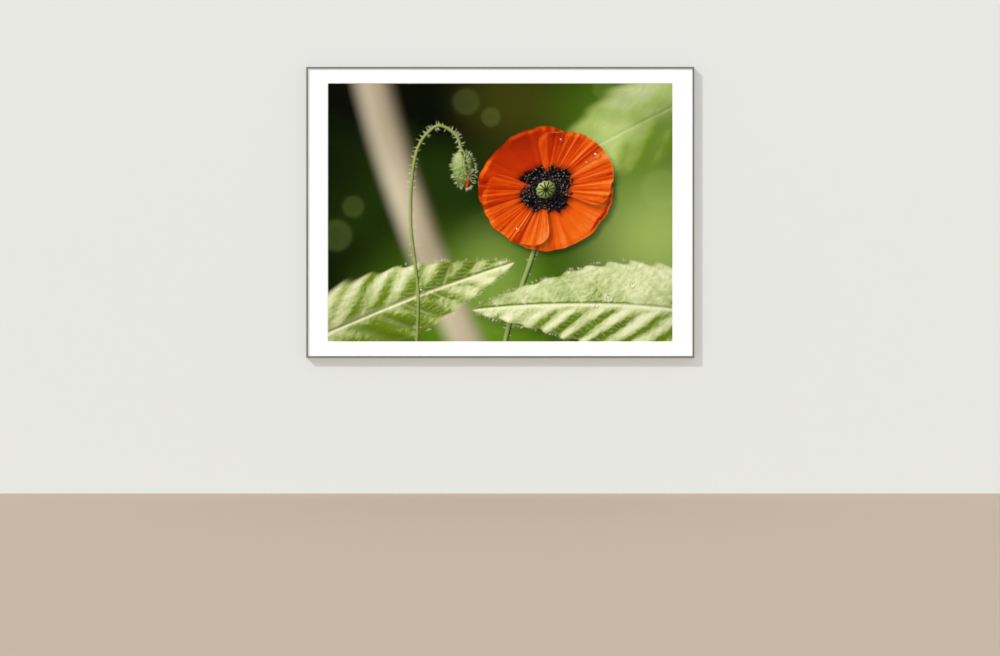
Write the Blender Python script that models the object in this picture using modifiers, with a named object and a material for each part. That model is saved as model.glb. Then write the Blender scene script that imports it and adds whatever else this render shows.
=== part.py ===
"""A framed print for the wall: a slim sectional aluminium frame with its glazing, bevel-cut mat, print and
back board, the corner plates and spring clips that hold them, and a hanging bar.

The origin is the middle of the hanging bar's wall face. +X runs to the right as the picture is looked at, +Z
up, and -Y out of the wall towards the viewer, so the wall is the plane Y = 0.
"""

from math import copysign, cos, hypot, pi, radians, sin, sqrt, tan

import bmesh
import bpy
from mathutils import Matrix, Vector

# The frame's outer size.
WIDTH = 1.016
HEIGHT = 0.762

# The gap between pieces that touch, lie on each other or meet at a mitre.
GAP = 0.0003

# Points closer than this are one point, and faces that meet at less than this angle are shaded as one.
MERGE_DISTANCE = GAP / 100
SMOOTH_ANGLE = radians(35)

# The rail's section. Depths run out from the wall, and widths in from the rail's outer face.
FRONT = 0.023
RAIL_BACK = 0.002
WALL_THICK = 0.0016
LIP_WIDTH = 0.005
LIP_THICK = 0.0016
SHELF_WIDTH = 0.011
SHELF_DEPTH = 0.0094
RETURN_WIDTH = 0.006
FLANGE_THICK = 0.0012
FRONT_ROUND = 0.0006
BACK_ROUND = 0.0003
ROUND_STEPS = 4

# What the frame holds, from the front to the back.
GLAZING_THICK = 0.002
MAT_THICK = 0.0018
PRINT_THICK = 0.0006
BACK_BOARD_THICK = 0.003
SHEET_INSET = WALL_THICK + 0.0006

# The part of the print that shows through the mat's window, and the slope of the window's cut edge.
PICTURE_WIDTH = 0.902
PICTURE_HEIGHT = 0.6755
BEVEL_ANGLE = radians(45)

# The L-shaped plates in the rear channel, and the slotted set screws that lock them.
PLATE_THICK = 0.002
PLATE_WIDTH = 0.0095
PLATE_LEG = 0.036
PLATE_SCREW_ALONG = 0.027
SCREW_RADIUS = 0.00175
SCREW_HOLE_RADIUS = SCREW_RADIUS + GAP
SCREW_IN = 0.0083
SCREW_PROUD = 0.0002
SCREW_SLOT_WIDTH = 0.0006
SCREW_SLOT_DEPTH = 0.0009
SCREW_SLOT_TURN = radians(35)
SCREW_SIDES = 20

# The hanging bar: a leg in the top rail's rear channel, a jog, and a tongue whose face lies on the wall.
BAR_LENGTH = 0.3
BAR_THICK = 0.002
BAR_FACE_START = 0.015
BAR_FACE_END = 0.031
BAR_JOG = 0.0028
BAR_TIP_CHAMFER = 0.0005
BAR_SCREWS_ALONG = (-0.12, -0.045, 0.045, 0.12)
TOP_ABOVE_ORIGIN = (BAR_FACE_START + BAR_FACE_END) / 2

# The bowed spring clips that press the sheets against the lip.
CLIP_LENGTH = 0.06
CLIP_THICK = 0.0005
CLIP_WIDTH = 0.0133
CLIP_IN = 0.0022
CLIP_STEPS = 12
CLIPS_ON_LONG_RAIL = (-0.40, -0.22, 0.22, 0.40)
CLIPS_ON_SHORT_RAIL = (-0.20, 0.20)

# The bumpers at the bottom corners, which keep the frame parallel to the wall.
BUMPER_RADIUS = 0.004
BUMPER_IN = 0.0043
BUMPER_FROM_CORNER = 0.038
BUMPER_RIM = 0.35
BUMPER_SIDES = 32
DOME_STEPS = 6

# Depths that follow from the stack.
GLAZING_BACK = FRONT - LIP_THICK - GAP - GLAZING_THICK
MAT_BACK = GLAZING_BACK - GAP - MAT_THICK
PRINT_BACK = MAT_BACK - GAP - PRINT_THICK
BACK_BOARD_BACK = PRINT_BACK - GAP - BACK_BOARD_THICK
SHELF_FRONT = SHELF_DEPTH + FLANGE_THICK
RETURN_FRONT = RAIL_BACK + FLANGE_THICK
PLATE_BACK = RETURN_FRONT + GAP
PLATE_IN = WALL_THICK + GAP

# Each rail's turn about +Y, its outer length, and how far its outer face is from the frame's centre.
RAILS = {
    "top": (0, WIDTH, HEIGHT / 2),
    "right": (pi / 2, HEIGHT, WIDTH / 2),
    "bottom": (pi, WIDTH, HEIGHT / 2),
    "left": (-pi / 2, HEIGHT, WIDTH / 2),
}


def new_collection(name):
    collection = bpy.data.collections.new(name)
    bpy.context.scene.collection.children.link(collection)
    return collection


def material(name, colour, roughness, metallic=0):
    made = bpy.data.materials.new(name)
    made.use_nodes = True
    shader = made.node_tree.nodes["Principled BSDF"]
    shader.inputs["Base Color"].default_value = (*colour, 1)
    shader.inputs["Roughness"].default_value = roughness
    shader.inputs["Metallic"].default_value = metallic
    return made


def add_piece(name, mesh, finish, location=(0, 0, 0), turn=0):
    """Adds a sub-part. It is placed from the frame's centre, in the wall's plane, and turns about +Y."""
    piece = bpy.data.objects.new(name, mesh)
    mesh.materials.append(finish)
    parts.objects.link(piece)
    piece.parent = centre
    piece.location = location
    piece.rotation_euler = (0, turn, 0)
    return piece


def cut(piece, name, mesh, location, turn=0):
    """Cuts a mesh out of a piece. The cutter stays in the file as a wire helper."""
    cutter = bpy.data.objects.new(name, mesh)
    cutters.objects.link(cutter)
    cutter.parent = centre
    cutter.location = location
    cutter.rotation_euler = (0, turn, 0)
    cutter.hide_render = True
    cutter.display_type = "WIRE"
    difference = piece.modifiers.new(name, "BOOLEAN")
    difference.operation = "DIFFERENCE"
    difference.solver = "EXACT"
    difference.object = cutter


def extrude(outlines, length):
    """Extrudes flat outlines in XY along Z, about Z = 0. The first is solid, and any others are holes."""
    curve = bpy.data.curves.new("outline", "CURVE")
    curve.dimensions = "2D"
    curve.fill_mode = "BOTH"
    curve.extrude = length / 2
    for outline in outlines:
        spline = curve.splines.new("POLY")
        spline.points.add(len(outline) - 1)
        for point, (x, y) in zip(spline.points, outline):
            point.co = (x, y, 0, 1)
        spline.use_cyclic_u = True
    guide = bpy.data.objects.new("outline", curve)
    bpy.context.scene.collection.objects.link(guide)
    graph = bpy.context.evaluated_depsgraph_get()
    mesh = bpy.data.meshes.new_from_object(guide.evaluated_get(graph))
    bpy.data.objects.remove(guide)
    bpy.data.curves.remove(curve)
    shape = bmesh.new()
    shape.from_mesh(mesh)
    bmesh.ops.remove_doubles(shape, verts=shape.verts, dist=MERGE_DISTANCE)
    shape.to_mesh(mesh)
    shape.free()
    return mesh


def move_points(mesh, rule):
    """Moves every point of a mesh by a rule, then turns the faces outwards and smooths the round ones."""
    for vertex in mesh.vertices:
        vertex.co = rule(*vertex.co)
    shape = bmesh.new()
    shape.from_mesh(mesh)
    bmesh.ops.recalc_face_normals(shape, faces=shape.faces)
    shape.to_mesh(mesh)
    shape.free()
    mesh.shade_smooth()
    mesh.set_sharp_from_angle(angle=SMOOTH_ANGLE)


def box(width, depth, height):
    shape = bmesh.new()
    bmesh.ops.create_cube(shape, size=1)
    bmesh.ops.scale(shape, vec=(width, depth, height), verts=shape.verts)
    mesh = bpy.data.meshes.new("box")
    shape.to_mesh(mesh)
    shape.free()
    return mesh


def round_bars(radius, length, places=(0,)):
    """Round bars along Y, one at each place along X."""
    shape = bmesh.new()
    for x in places:
        along_y = Matrix.Translation((x, 0, 0)) @ Matrix.Rotation(pi / 2, 4, "X")
        bmesh.ops.create_cone(
            shape,
            cap_ends=True,
            segments=SCREW_SIDES,
            radius1=radius,
            radius2=radius,
            depth=length,
            matrix=along_y,
        )
    mesh = bpy.data.meshes.new("round_bars")
    shape.to_mesh(mesh)
    shape.free()
    mesh.shade_smooth()
    mesh.set_sharp_from_angle(angle=SMOOTH_ANGLE)
    return mesh


def arc(middle, radius, start, end, steps=ROUND_STEPS):
    """Points along an arc, from one angle to another, in degrees."""
    angles = [radians(start + (end - start) * step / steps) for step in range(steps + 1)]
    return [(middle[0] + radius * cos(angle), middle[1] + radius * sin(angle)) for angle in angles]


def on_rail(side, along, inward):
    """A place on a rail, seen from the frame's centre: along the rail, and in from its outer face."""
    turn, _, reach = RAILS[side]
    return Matrix.Rotation(turn, 3, "Y") @ Vector((along, 0, reach - inward))


def make_rail(side, finish):
    """A length of the extrusion: an outer wall with a front lip, a shelf and a return, and mitred ends."""
    turn, length, reach = RAILS[side]
    lip_back = -(FRONT - LIP_THICK)
    section = [
        *arc((BACK_ROUND, -RAIL_BACK - BACK_ROUND), BACK_ROUND, 90, 180),
        *arc((FRONT_ROUND, -FRONT + FRONT_ROUND), FRONT_ROUND, 180, 270),
        *arc((LIP_WIDTH - FRONT_ROUND, -FRONT + FRONT_ROUND), FRONT_ROUND, 270, 360),
        (LIP_WIDTH, lip_back),
        (WALL_THICK, lip_back),
        (WALL_THICK, -SHELF_FRONT),
        (SHELF_WIDTH, -SHELF_FRONT),
        (SHELF_WIDTH, -SHELF_DEPTH),
        (WALL_THICK, -SHELF_DEPTH),
        (WALL_THICK, -RETURN_FRONT),
        (RETURN_WIDTH, -RETURN_FRONT),
        (RETURN_WIDTH, -RAIL_BACK),
    ]

    def mitre(inward, y, end):
        # Half of the gap, measured square to the mitre, is taken off along the rail.
        half = length / 2 - inward - GAP / 2 * sqrt(2)
        return copysign(half, end), y, reach - inward

    mesh = extrude([section], length)
    move_points(mesh, mitre)
    add_piece(f"rail_{side}", mesh, finish, turn=turn)


def make_sheet(name, thickness, back, finish):
    """A flat sheet in the rails' front channel."""
    mesh = box(WIDTH - 2 * SHEET_INSET, thickness, HEIGHT - 2 * SHEET_INSET)
    return add_piece(name, mesh, finish, (0, -back - thickness / 2, 0))


def make_mat(finish):
    """The mat board. Its window is the picture's size at the back, and the cut widens towards the front."""
    mat = make_sheet("mat", MAT_THICK, MAT_BACK, finish)
    window = box(PICTURE_WIDTH, 2 * MAT_THICK, PICTURE_HEIGHT)

    def slope(x, y, z):
        wider = (MAT_THICK / 2 - y) * tan(BEVEL_ANGLE)
        return x + wider * copysign(1, x), y, z + wider * copysign(1, z)

    move_points(window, slope)
    cut(mat, "mat_window", window, (0, -MAT_BACK - MAT_THICK / 2, 0))


def make_screw(name, place, finish, slot_turn):
    """A slotted set screw, from just clear of the shelf to a little proud of its plate."""
    tip = SHELF_DEPTH - GAP
    head = PLATE_BACK - SCREW_PROUD
    middle = place - Vector((0, (tip + head) / 2, 0))
    screw = add_piece(name, round_bars(SCREW_RADIUS, tip - head), finish, middle)
    slot = box(4 * SCREW_RADIUS, 2 * SCREW_SLOT_DEPTH, SCREW_SLOT_WIDTH)
    cut(screw, f"{name}_slot", slot, place - Vector((0, head, 0)), slot_turn)


def make_corner_plate(name, across, up, finish):
    """An L-shaped plate that bridges a mitre inside the rear channel, with a set screw in each leg."""
    inward = SCREW_IN - PLATE_IN
    holes = [(PLATE_SCREW_ALONG, inward), (inward, PLATE_SCREW_ALONG)]
    outline = [
        (0, 0),
        (PLATE_LEG, 0),
        (PLATE_LEG, PLATE_WIDTH),
        (PLATE_WIDTH, PLATE_WIDTH),
        (PLATE_WIDTH, PLATE_LEG),
        (0, PLATE_LEG),
    ]
    last = 360 - 360 / SCREW_SIDES
    rims = [arc(hole, SCREW_HOLE_RADIUS, 0, last, SCREW_SIDES - 1) for hole in holes]

    def from_corner(x, z, depth=0):
        return across * (WIDTH / 2 - PLATE_IN - x), depth, up * (HEIGHT / 2 - PLATE_IN - z)

    mesh = extrude([outline, *rims], PLATE_THICK)
    move_points(mesh, from_corner)
    add_piece(name, mesh, finish, (0, -PLATE_BACK - PLATE_THICK / 2, 0))
    for number, hole in enumerate(holes, 1):
        slot_turn = across * up * number * SCREW_SLOT_TURN
        make_screw(f"{name}_screw_{number}", Vector(from_corner(*hole)), finish, slot_turn)


def make_hanging_bar(finish, screw_finish):
    """The bar that hooks over the wall's own bar, held in the top rail's rear channel by its set screws."""
    bend = BAR_FACE_START - BAR_JOG
    # The jog is as thick as the rest, so its front corners lie this much further down than its back ones.
    lag = BAR_THICK * (hypot(BAR_JOG, PLATE_BACK) - BAR_JOG) / PLATE_BACK
    section = [
        (PLATE_IN, -PLATE_BACK),
        (bend, -PLATE_BACK),
        (BAR_FACE_START, 0),
        (BAR_FACE_END, 0),
        (BAR_FACE_END + BAR_TIP_CHAMFER, -BAR_TIP_CHAMFER),
        (BAR_FACE_END + BAR_TIP_CHAMFER, -BAR_THICK + BAR_TIP_CHAMFER),
        (BAR_FACE_END, -BAR_THICK),
        (BAR_FACE_START + lag, -BAR_THICK),
        (bend + lag, -PLATE_BACK - BAR_THICK),
        (PLATE_IN, -PLATE_BACK - BAR_THICK),
    ]
    mesh = extrude([section], BAR_LENGTH)
    move_points(mesh, lambda down, y, along: (along, y, HEIGHT / 2 - down))
    bar = add_piece("hanging_bar", mesh, finish)
    holes = round_bars(SCREW_HOLE_RADIUS, 3 * BAR_THICK, BAR_SCREWS_ALONG)
    cut(bar, "bar_holes", holes, on_rail("top", 0, SCREW_IN) - Vector((0, PLATE_BACK, 0)))
    for number, along in enumerate(BAR_SCREWS_ALONG, 1):
        place = on_rail("top", along, SCREW_IN)
        make_screw(f"bar_screw_{number}", place, screw_finish, number * SCREW_SLOT_TURN)


def make_clip(name, side, along, finish):
    """A bowed strip of spring steel. Its ends press on the shelf and its middle on the back board."""
    ends_y = -SHELF_FRONT - GAP
    middle_y = -BACK_BOARD_BACK + GAP + CLIP_THICK
    steps = [2 * step / CLIP_STEPS - 1 for step in range(CLIP_STEPS + 1)]
    back = [(CLIP_LENGTH / 2 * step, middle_y + (ends_y - middle_y) * step**2) for step in steps]
    front = [(x, y - CLIP_THICK) for x, y in reversed(back)]
    mesh = extrude([back + front], CLIP_WIDTH)
    mesh.shade_smooth()
    mesh.set_sharp_from_angle(angle=SMOOTH_ANGLE)
    add_piece(name, mesh, finish, on_rail(side, along, CLIP_IN + CLIP_WIDTH / 2), RAILS[side][0])


def make_bumper(name, x, finish):
    """A soft dome stuck on the bottom rail's return: a half profile turned about its own axis."""
    height = RAIL_BACK - GAP
    rim = -height * (1 - BUMPER_RIM)
    dome = [pi / 2 * step / DOME_STEPS for step in range(DOME_STEPS)]
    profile = [(0, -height), (BUMPER_RADIUS, -height)]
    profile += [(BUMPER_RADIUS * cos(angle), rim * (1 - sin(angle))) for angle in dome]
    profile += [(0, 0)]
    edges = [(step, step + 1) for step in range(len(profile) - 1)]
    mesh = bpy.data.meshes.new(name)
    mesh.from_pydata([(radius, y, 0) for radius, y in profile], edges, [])
    bumper = add_piece(name, mesh, finish, (x, 0, -HEIGHT / 2 + BUMPER_IN))
    turned = bumper.modifiers.new("turned", "SCREW")
    turned.axis = "Y"
    turned.steps = BUMPER_SIDES
    turned.render_steps = BUMPER_SIDES
    turned.use_merge_vertices = True
    turned.merge_threshold = MERGE_DISTANCE
    turned.use_normal_calculate = True


for old in list(bpy.data.objects):
    bpy.data.objects.remove(old)
parts = new_collection("framed_print")
cutters = new_collection("cutters")
centre = bpy.data.objects.new("frame_centre", None)
parts.objects.link(centre)
centre.location = (0, 0, TOP_ABOVE_ORIGIN - HEIGHT / 2)

pewter = material("pewter_aluminium", (0.21, 0.2, 0.17), 0.38, 1)
mill = material("mill_aluminium", (0.62, 0.62, 0.6), 0.34, 1)
zinc = material("zinc_steel", (0.55, 0.55, 0.52), 0.3, 1)
spring = material("spring_steel", (0.3, 0.3, 0.31), 0.28, 1)
acrylic = material("clear_acrylic", (0.9, 0.95, 0.95), 0.03)
white_board = material("white_mat_board", (0.9, 0.9, 0.88), 0.85)
printed = material("photo_paper", (0.17, 0.2, 0.04), 0.4)
hardboard = material("hardboard", (0.28, 0.19, 0.11), 0.7)
rubber = material("clear_rubber", (0.6, 0.62, 0.6), 0.3)

for rail_side in RAILS:
    make_rail(rail_side, pewter)
make_sheet("glazing", GLAZING_THICK, GLAZING_BACK, acrylic)
make_mat(white_board)
make_sheet("print", PRINT_THICK, PRINT_BACK, printed)
make_sheet("back_board", BACK_BOARD_THICK, BACK_BOARD_BACK, hardboard)
for row, up in (("top", 1), ("bottom", -1)):
    for column, across in (("left", -1), ("right", 1)):
        make_corner_plate(f"plate_{row}_{column}", across, up, zinc)
make_hanging_bar(mill, zinc)
clip_places = [(side, along) for side in ("top", "bottom") for along in CLIPS_ON_LONG_RAIL]
clip_places += [(side, along) for side in ("left", "right") for along in CLIPS_ON_SHORT_RAIL]
for number, (side, along) in enumerate(clip_places, 1):
    make_clip(f"clip_{number}", side, along, spring)
for column, across in (("left", -1), ("right", 1)):
    make_bumper(f"bumper_{column}", across * (WIDTH / 2 - BUMPER_FROM_CORNER), rubber)
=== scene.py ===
"""The finish of a framed print for the wall, piece by piece: its rails, glazing, mat, print, back board and
the fixings behind them. The bare wall and floor, the light and the camera come last.
"""
from math import cos, pi, radians, sin

import bpy
import numpy as np
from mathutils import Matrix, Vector


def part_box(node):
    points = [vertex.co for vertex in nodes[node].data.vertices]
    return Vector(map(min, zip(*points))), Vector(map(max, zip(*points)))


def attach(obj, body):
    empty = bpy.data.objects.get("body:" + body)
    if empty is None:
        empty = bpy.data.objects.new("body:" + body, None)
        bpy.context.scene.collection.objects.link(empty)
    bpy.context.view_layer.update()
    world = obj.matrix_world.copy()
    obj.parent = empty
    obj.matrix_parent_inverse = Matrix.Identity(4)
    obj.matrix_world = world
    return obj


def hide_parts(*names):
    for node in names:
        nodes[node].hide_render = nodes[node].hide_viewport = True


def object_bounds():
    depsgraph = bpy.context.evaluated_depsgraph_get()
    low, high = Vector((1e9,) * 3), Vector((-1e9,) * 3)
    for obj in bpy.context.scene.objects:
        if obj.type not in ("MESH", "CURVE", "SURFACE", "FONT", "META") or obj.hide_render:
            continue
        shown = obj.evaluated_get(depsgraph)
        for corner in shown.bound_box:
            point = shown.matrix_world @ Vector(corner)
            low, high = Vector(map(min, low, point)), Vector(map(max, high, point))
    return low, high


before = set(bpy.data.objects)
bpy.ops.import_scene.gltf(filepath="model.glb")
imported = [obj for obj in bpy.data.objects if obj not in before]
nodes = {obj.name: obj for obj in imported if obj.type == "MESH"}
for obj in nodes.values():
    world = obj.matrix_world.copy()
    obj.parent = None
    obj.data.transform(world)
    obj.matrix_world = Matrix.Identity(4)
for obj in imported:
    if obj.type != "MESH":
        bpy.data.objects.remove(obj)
solid_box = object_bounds()


# The rails. Four lengths of one aluminium extrusion, satin anodised in a warm pewter tone. The die leaves
# fine lines along each length. The lengths are mitred after they are anodised, so the saw's cuts are bare.
PEWTER = (0.335, 0.33, 0.295)
PEWTER_ROUGHNESS = (0.36, 0.44)
BARE_ALUMINIUM = (0.74, 0.74, 0.73)
SAW_CUT_SLANT = 0.3
DIE_LINES = 0.0007
LINE_STRETCH = 300
LINE_DEPTH = 0.00001
HANDLING = 0.04
# Cloudy noise seldom leaves this range.
NOISE_LOW, NOISE_HIGH = 0.3, 0.7


class Finish:
    """The nodes that a finish, or the sky, is made of."""

    def __init__(self, block, shader="Principled BSDF", **even):
        """Sockets that are even all over get their values here. They are named with _ for each space."""
        block.use_nodes = True
        self.block, self.tree = block, block.node_tree
        self.shader = self.tree.nodes[shader]
        for socket, value in even.items():
            self.shader.inputs[socket.replace("_", " ")].default_value = value
        self.coordinates = self.add("TexCoord").outputs

    def add(self, kind, sockets=(), **settings):
        """Adds a node. Each of its sockets is given a value, or another node's output to read."""
        node = self.tree.nodes.new("ShaderNode" + kind)
        for name, value in settings.items():
            setattr(node, name, value)
        for name, value in dict(sockets).items():
            if isinstance(value, bpy.types.NodeSocket):
                self.tree.links.new(value, node.inputs[name])
            else:
                node.inputs[name].default_value = value
        return node

    def feed(self, **outputs):
        """Links outputs to the main shader's sockets, which are named the same way."""
        for name, output in outputs.items():
            self.tree.links.new(output, self.shader.inputs[name.replace("_", " ")])

    def grain(self, size, detail=3.0, stretch=(1, 1, 1)):
        """Cloudy noise with grains of about this size, drawn out along an axis where stretch is above 1."""
        scale = [1 / (size * long) for long in stretch]
        mapped = self.add("Mapping", {"Vector": self.coordinates["Object"], "Scale": scale})
        sockets = {"Vector": mapped.outputs[0], "Scale": 1.0, "Detail": detail}
        return self.add("TexNoise", sockets).outputs["Fac"]

    def rescale(self, value, old, new):
        """The value, taken from its old range to a new one."""
        ends = zip(("From Min", "From Max", "To Min", "To Max"), (*old, *new))
        return self.add("MapRange", {"Value": value, **dict(ends)}).outputs["Result"]

    def spread(self, pattern, low, high):
        """The pattern's middle range, spread from a low to a high value."""
        return self.rescale(pattern, (NOISE_LOW, NOISE_HIGH), (low, high))

    def two_tone(self, pattern, dark, light):
        """The pattern's middle range as a colour, from dark to light."""
        ramp = self.add("ValToRGB", {"Fac": pattern})
        stops = zip(ramp.color_ramp.elements, (NOISE_LOW, NOISE_HIGH), (dark, light))
        for stop, position, colour in stops:
            stop.position = position
            stop.color = (*colour, 1)
        return ramp.outputs["Color"]

    def mottled(self, pattern, colour, step):
        """The colour, a step darker or lighter with the pattern."""
        shades = [tuple(min(1, channel * share) for channel in colour) for share in (1 - step, 1 + step)]
        return self.two_tone(pattern, *shades)

    def choose(self, share, first, second):
        """The first colour where the share is 0, and the second where it is 1."""
        return self.add("Mix", {0: share, 6: first, 7: second}, data_type="RGBA").outputs[2]

    def multiplied(self, colour, share):
        """The colour, darkened to this share of itself."""
        sockets = {0: 1.0, 6: colour, 7: share}
        return self.add("Mix", sockets, data_type="RGBA", blend_type="MULTIPLY").outputs[2]

    def compute(self, operation, *values):
        """One step of arithmetic, done by a node."""
        return self.add("Math", dict(enumerate(values)), operation=operation).outputs[0]

    def relief(self, pattern, depth, over=None):
        """A bump with this real depth in metres, laid over another where one is given."""
        sockets = {"Height": pattern, "Distance": depth}
        if over is not None:
            sockets["Normal"] = over
        return self.add("Bump", sockets).outputs["Normal"]

    def facing(self):
        """The X, Y and Z of the way that the surface faces."""
        normal = self.add("NewGeometry").outputs["True Normal"]
        return self.add("SeparateXYZ", {0: normal}).outputs

    def share_surface(self, share, first, second):
        """Shows the first shader where the share is 0, and the second where it is 1."""
        mixed = self.add("MixShader", {0: share, 1: first, 2: second}).outputs[0]
        self.tree.links.new(mixed, self.tree.nodes["Material Output"].inputs["Surface"])


def new_finish(name, **even):
    """A finish to lay on pieces, by their own coordinates."""
    return Finish(bpy.data.materials.new(name), **even)


def drawn_metal(name, along, colour, rough, line_size, step=0.05):
    """Metal with fine lines along X or Z, such as a die, a roll or a drawing bench leaves."""
    metal = new_finish(name, Metallic=1)
    stretch = (LINE_STRETCH, 1, 1) if along == "X" else (1, 1, LINE_STRETCH)
    lines = metal.grain(line_size, detail=2.0, stretch=stretch)
    handling = metal.grain(HANDLING)
    metal.feed(
        Base_Color=metal.mottled(lines, colour, step),
        Roughness=metal.spread(handling, *rough),
        Normal=metal.relief(lines, LINE_DEPTH),
    )
    return metal


def bare_saw_cuts(metal, colour):
    """Shows bare metal on the mitres, the faces that stand between X and Z."""
    way = metal.facing()
    slant = metal.compute("ABSOLUTE", metal.compute("MULTIPLY", way["X"], way["Z"]))
    is_cut = metal.compute("GREATER_THAN", slant, SAW_CUT_SLANT)
    anodised = metal.shader.inputs["Base Color"].links[0].from_socket
    metal.feed(Base_Color=metal.choose(is_cut, anodised, (*colour, 1)))


def wear(node, finish):
    """Gives a solid from the frame its finish."""
    nodes[node].data.materials.clear()
    nodes[node].data.materials.append(finish.block)


for along, sides in (("X", ("top", "bottom")), ("Z", ("left", "right"))):
    pewter = drawn_metal(f"pewter_along_{along}", along, PEWTER, PEWTER_ROUGHNESS, DIE_LINES)
    bare_saw_cuts(pewter, BARE_ALUMINIUM)
    for side in sides:
        wear(f"rail_{side}", pewter)


# The glazing. A clear acrylic sheet whose coating takes away nearly all of its reflections. It is cut from a
# large sheet and lies loose in the rails, against the back of their lip. It shines more when seen edge on.
CLEAR_ACRYLIC = (0.995, 1.0, 0.998, 1)
COATING_ROUGHNESS = (0.01, 0.03)
WIPE_MARKS = 0.06
GLAZING_SHINE = (0.0012, 0.6)
SHINE_FALL_OFF = 5.0

acrylic = new_finish("coated_acrylic")
acrylic.tree.nodes.remove(acrylic.shader)
wipe_marks = acrylic.spread(acrylic.grain(WIPE_MARKS), *COATING_ROUGHNESS)
clear = acrylic.add("BsdfTransparent", {"Color": CLEAR_ACRYLIC}).outputs[0]
shine = acrylic.add("BsdfAnisotropic", {"Roughness": wipe_marks}).outputs[0]
edge_on = acrylic.add("LayerWeight", {"Blend": 0.5}).outputs["Facing"]
edge_on = acrylic.compute("POWER", edge_on, SHINE_FALL_OFF)
acrylic.share_surface(acrylic.rescale(edge_on, (0, 1), GLAZING_SHINE), clear, shine)
wear("glazing", acrylic)


# The mat. A 1.8 mm cotton board, faced with white paper that has a slight tooth. Its window is cut on a
# slant, which shows the board's brighter core as a fine line all round the picture.
MAT_PAPER = (0.93, 0.93, 0.94)
MAT_CORE = (0.97, 0.97, 0.96)
MAT_ROUGHNESS = (0.82, 0.92)
MAT_SHEEN = 0.2
PAPER_TOOTH = 0.0006
TOOTH_RELIEF = 0.00003
TOOTH_SHADE = 0.012
CORE_FLUFF = 0.0003
FLUFF_RELIEF = 0.00001
FLUFF_SHADE = 0.02
STRAIGHT_OUT = 0.95

mat_board = new_finish("cotton_mat_board", Specular_IOR_Level=MAT_SHEEN)
tooth = mat_board.grain(PAPER_TOOTH, detail=6.0)
fluff = mat_board.grain(CORE_FLUFF, detail=2.0)
outward = mat_board.compute("ABSOLUTE", mat_board.facing()["Y"])
is_core = mat_board.compute("LESS_THAN", outward, STRAIGHT_OUT)
paper_colour = mat_board.mottled(tooth, MAT_PAPER, TOOTH_SHADE)
core_colour = mat_board.mottled(fluff, MAT_CORE, FLUFF_SHADE)
mat_board.feed(
    Base_Color=mat_board.choose(is_core, paper_colour, core_colour),
    Roughness=mat_board.spread(tooth, *MAT_ROUGHNESS),
    Normal=mat_board.relief(fluff, FLUFF_RELIEF, over=mat_board.relief(tooth, TOOTH_RELIEF)),
)
wear("mat", mat_board)


# The print. Pigment inks on a heavy lustre paper, laid flat behind the mat's window, with a white border
# under the mat. It shows a poppy, its nodding bud and wet leaves, and the garden behind them out of focus.
MAT_WINDOW = (0.902, 0.6755)
UNDER_THE_MAT = 0.005
BORDER_RIDGE = 0.0004
PAPER_WHITE = (0.88, 0.88, 0.87)
INK_STRENGTH = 0.93
INK_GRAIN = 0.0016
INK_THINNEST = 0.90
LUSTRE_PEBBLES = 0.0009
LUSTRE_RELIEF = 0.00002
LUSTRE_ROUGHNESS = (0.38, 0.5)
LUSTRE_SHEEN = 0.02
FIRST_SQUARES = (180, 135)
SHARPER_SQUARES = (8300, 10800)

# Places and sizes in the picture are in metres from its middle. The sun stands high on the left.
SUN = (-0.50, 0.52, 0.69)


def screen_colour(red, green, blue):
    """A colour named by its screen values, 0 to 255, as linear light."""
    share = np.array([red, green, blue]) / 255
    return np.where(share <= 0.04045, share / 12.92, ((share + 0.055) / 1.055) ** 2.4)


def ease(low, high, value):
    """Runs smoothly from 0 at low to 1 at high."""
    share = np.clip((value - low) / (high - low), 0, 1)
    return share * share * (3 - 2 * share)


def lumps(x, z, size, seed):
    """Smooth random values from -1 to 1, in lumps of about this size."""
    column, row = x / size + 19.7 * seed, z / size - 11.3 * seed
    left, low = np.floor(column), np.floor(row)
    across, up = ease(0, 1, column - left), ease(0, 1, row - low)

    def knot(right, above):
        value = np.sin((left + right) * 127.1 + (low + above) * 311.7 + seed * 5.3) * 43758.5453
        return 2 * (value - np.floor(value)) - 1

    below = knot(0, 0) + (knot(1, 0) - knot(0, 0)) * across
    above = knot(0, 1) + (knot(1, 1) - knot(0, 1)) * across
    return below + (above - below) * up


def waver(place, size, seed):
    """Smooth random values from -1 to 1 along a line, in waves of about this size."""
    return lumps(place, 0 * place, size, seed)


def clouds(x, z, size, seed, layers=3):
    """Lumps with finer lumps on them."""
    drift = sum(lumps(x, z, size / 2**layer, seed + 7.1 * layer) / 2**layer for layer in range(layers))
    return drift / 1.75


def lay(ink, colour, cover):
    """Lays a colour over the picture, as far as it covers."""
    return ink + (colour - ink) * np.clip(cover, 0, 1)[:, None]


def between(low, high, share):
    """The colour at this share of the way from low to high."""
    return low + (high - low) * np.clip(share, 0, 1)[:, None]


def darken(ink, share):
    """Takes this share of the light away."""
    return ink * (1 - share)[:, None]


def turned_to(x, z, middle, angle):
    """Places seen from a middle point, with the first axis along the angle."""
    right, up = x - middle[0], z - middle[1]
    return right * cos(angle) + up * sin(angle), up * cos(angle) - right * sin(angle)


def turned_back(along, across, middle, angle):
    """The place that turned_to sees at these distances along and across."""
    right = along * cos(angle) - across * sin(angle)
    return middle[0] + right, middle[1] + along * sin(angle) + across * cos(angle)


def away(x, z, point):
    """How far places are from a point."""
    return np.hypot(x - point[0], z - point[1])


def paint_near(ink, x, z, middle, reach, brush, *sizes):
    """Paints with a brush, whose motif lies within reach of its middle."""
    near = away(x, z, middle) < reach
    if near.any():
        ink[near] = brush(ink[near], x[near], z[near], *sizes)


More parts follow.
